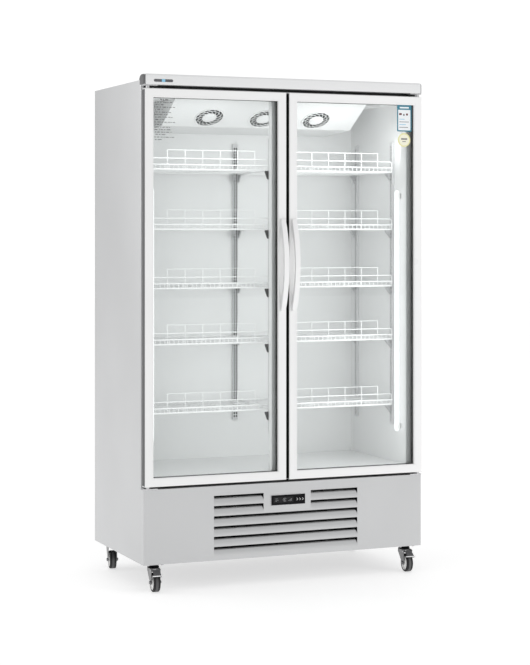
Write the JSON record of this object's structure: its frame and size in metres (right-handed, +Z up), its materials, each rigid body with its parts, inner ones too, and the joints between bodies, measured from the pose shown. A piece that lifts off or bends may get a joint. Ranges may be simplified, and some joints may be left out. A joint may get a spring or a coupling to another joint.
{
  "type": "glass door merchandiser",
  "caption": "Upright two-door glass-front merchandiser refrigerator on casters, with wire shelves, bow handles, louvered base and a canopy over the doors.",
  "frame": {"origin": "on the floor under the middle of the overall box", "axes": "+Z up, +X to the right seen from the front, the doors face -Y"},
  "size_m": [1.208, 0.688, 2],
  "materials": {
    "stainless_panel": "satin, fine vertical grain",
    "galvanised_sheet": "plain zinc-coated sheet",
    "liner_white": "semi-gloss white",
    "white_enamel": "satin white",
    "zinc_hardware": "bright zinc plate",
    "shelf_wire": "white plastic-coated wire",
    "glass": "clear double glazing",
    "gasket": "matt",
    "controller_black": "gloss black",
    "button_grey": "matt light grey",
    "fan_black": "matt black",
    "lamp": "opal white",
    "fin_aluminium": "plain finned aluminium",
    "compressor_black": "black enamel",
    "tyre": "matt black"
  },
  "bodies": {
    "cabinet": {"side_panel_left": "stainless_panel", "side_panel_right": "stainless_panel", "back_panel": "galvanised_sheet", "roof_panel": "stainless_panel", "base_pan": "galvanised_sheet", "insulated_liner": "liner_white", "center_mullion": "white_enamel", "shelf_standard_left_front": "galvanised_sheet", "shelf_standard_left_rear": "galvanised_sheet", "shelf_standard_right_front": "galvanised_sheet", "shelf_standard_right_rear": "galvanised_sheet", "shelf_standard_center_rear": "galvanised_sheet", "header_canopy": "stainless_panel", "louver_panel": "stainless_panel", "controller_housing": "controller_black", "shelf_left_1": "shelf_wire", "shelf_left_2": "shelf_wire", "shelf_left_3": "shelf_wire", "shelf_left_4": "shelf_wire", "shelf_left_5": "shelf_wire", "shelf_right_1": "shelf_wire", "shelf_right_2": "shelf_wire", "shelf_right_3": "shelf_wire", "shelf_right_4": "shelf_wire", "shelf_right_5": "shelf_wire", "evaporator_cover": "liner_white", "evaporator_coil": "fin_aluminium", "condenser_coil": "fin_aluminium", "compressor": "compressor_black", "lamp_left": "lamp", "lamp_right": "lamp", "hinge_bracket_top_left": "zinc_hardware", "hinge_bracket_top_right": "zinc_hardware", "hinge_bracket_bottom_left": "zinc_hardware", "hinge_bracket_bottom_right": "zinc_hardware"},
    "door_left": {"door_frame_left": "white_enamel", "door_glass_left": "glass", "door_gasket_left": "gasket", "door_handle_left": "white_enamel"},
    "door_right": {"door_frame_right": "white_enamel", "door_glass_right": "glass", "door_gasket_right": "gasket", "door_handle_right": "white_enamel"},
    "evaporator_fan_left": {"evaporator_fan_left": "fan_black"},
    "evaporator_fan_center": {"evaporator_fan_center": "fan_black"},
    "evaporator_fan_right": {"evaporator_fan_right": "fan_black"},
    "condenser_fan": {"condenser_fan": "fan_black"},
    "button_set": {"button_set": "button_grey"},
    "button_up": {"button_up": "button_grey"},
    "button_down": {"button_down": "button_grey"},
    "caster_swivel_front_left": {"caster_fork_front_left": "zinc_hardware"},
    "caster_wheel_front_left": {"caster_wheel_front_left": "tyre"},
    "brake_pedal_front_left": {"brake_pedal_front_left": "zinc_hardware"},
    "caster_swivel_front_right": {"caster_fork_front_right": "zinc_hardware"},
    "caster_wheel_front_right": {"caster_wheel_front_right": "tyre"},
    "brake_pedal_front_right": {"brake_pedal_front_right": "zinc_hardware"},
    "caster_swivel_rear_left": {"caster_fork_rear_left": "zinc_hardware"},
    "caster_wheel_rear_left": {"caster_wheel_rear_left": "tyre"},
    "caster_swivel_rear_right": {"caster_fork_rear_right": "zinc_hardware"},
    "caster_wheel_rear_right": {"caster_wheel_rear_right": "tyre"}
  },
  "joints": [
    {"name": "door_left_hinge", "type": "hinge", "parent": "cabinet", "child": "door_left", "pos_m": [-0.583, -0.285, 0], "axis": [0, 0, -1], "range_deg": [0, 105]},
    {"name": "door_right_hinge", "type": "hinge", "parent": "cabinet", "child": "door_right", "pos_m": [0.583, -0.285, 0], "axis": [0, 0, 1], "range_deg": [0, 105]},
    {"name": "evaporator_fan_left_spin", "type": "hinge", "parent": "cabinet", "child": "evaporator_fan_left", "pos_m": [-0.237, -0.03687, 1.86136], "axis": [0, 0.5156, 0.8568], "continuous": true},
    {"name": "evaporator_fan_center_spin", "type": "hinge", "parent": "cabinet", "child": "evaporator_fan_center", "pos_m": [0, -0.03687, 1.86136], "axis": [0, 0.5156, 0.8568], "continuous": true},
    {"name": "evaporator_fan_right_spin", "type": "hinge", "parent": "cabinet", "child": "evaporator_fan_right", "pos_m": [0.237, -0.03687, 1.86136], "axis": [0, 0.5156, 0.8568], "continuous": true},
    {"name": "condenser_fan_spin", "type": "hinge", "parent": "cabinet", "child": "condenser_fan", "pos_m": [0, -0.153, 0.232], "axis": [0, 1, 0], "continuous": true},
    {"name": "button_set_press", "type": "slide", "parent": "cabinet", "child": "button_set", "axis": [0, 1, 0], "range_m": [0, 0.0008], "stiffness_N_per_m": 400},
    {"name": "button_up_press", "type": "slide", "parent": "cabinet", "child": "button_up", "axis": [0, 1, 0], "range_m": [0, 0.0008], "stiffness_N_per_m": 400},
    {"name": "button_down_press", "type": "slide", "parent": "cabinet", "child": "button_down", "axis": [0, 1, 0], "range_m": [0, 0.0008], "stiffness_N_per_m": 400},
    {"name": "caster_front_left_swivel", "type": "hinge", "parent": "cabinet", "child": "caster_swivel_front_left", "pos_m": [-0.545, -0.24, 0], "axis": [0, 0, 1], "continuous": true},
    {"name": "caster_front_left_roll", "type": "hinge", "parent": "caster_swivel_front_left", "child": "caster_wheel_front_left", "pos_m": [-0.54761, -0.26989, 0.03718], "axis": [0.9962, -0.0872, 0], "continuous": true},
    {"name": "brake_front_left_press", "type": "hinge", "parent": "caster_swivel_front_left", "child": "brake_pedal_front_left", "pos_m": [-0.54814, -0.27586, 0.0835], "axis": [0.9962, -0.0872, 0], "range_deg": [0, 12]},
    {"name": "caster_front_right_swivel", "type": "hinge", "parent": "cabinet", "child": "caster_swivel_front_right", "pos_m": [0.545, -0.24, 0], "axis": [0, 0, 1], "continuous": true},
    {"name": "caster_front_right_roll", "type": "hinge", "parent": "caster_swivel_front_right", "child": "caster_wheel_front_right", "pos_m": [0.54239, -0.26989, 0.03718], "axis": [0.9962, -0.0872, 0], "continuous": true},
    {"name": "brake_front_right_press", "type": "hinge", "parent": "caster_swivel_front_right", "child": "brake_pedal_front_right", "pos_m": [0.54186, -0.27586, 0.0835], "axis": [0.9962, -0.0872, 0], "range_deg": [0, 12]},
    {"name": "caster_rear_left_swivel", "type": "hinge", "parent": "cabinet", "child": "caster_swivel_rear_left", "pos_m": [-0.545, 0.289, 0], "axis": [0, 0, 1], "continuous": true},
    {"name": "caster_rear_left_roll", "type": "hinge", "parent": "caster_swivel_rear_left", "child": "caster_wheel_rear_left", "pos_m": [-0.55072, 0.25955, 0.03718], "axis": [0.9816, -0.1908, 0], "continuous": true},
    {"name": "caster_rear_right_swivel", "type": "hinge", "parent": "cabinet", "child": "caster_swivel_rear_right", "pos_m": [0.545, 0.289, 0], "axis": [0, 0, 1], "continuous": true},
    {"name": "caster_rear_right_roll", "type": "hinge", "parent": "caster_swivel_rear_right", "child": "caster_wheel_rear_right", "pos_m": [0.54134, 0.25922, 0.03718], "axis": [0.9925, -0.1219, 0], "continuous": true}
  ]
}
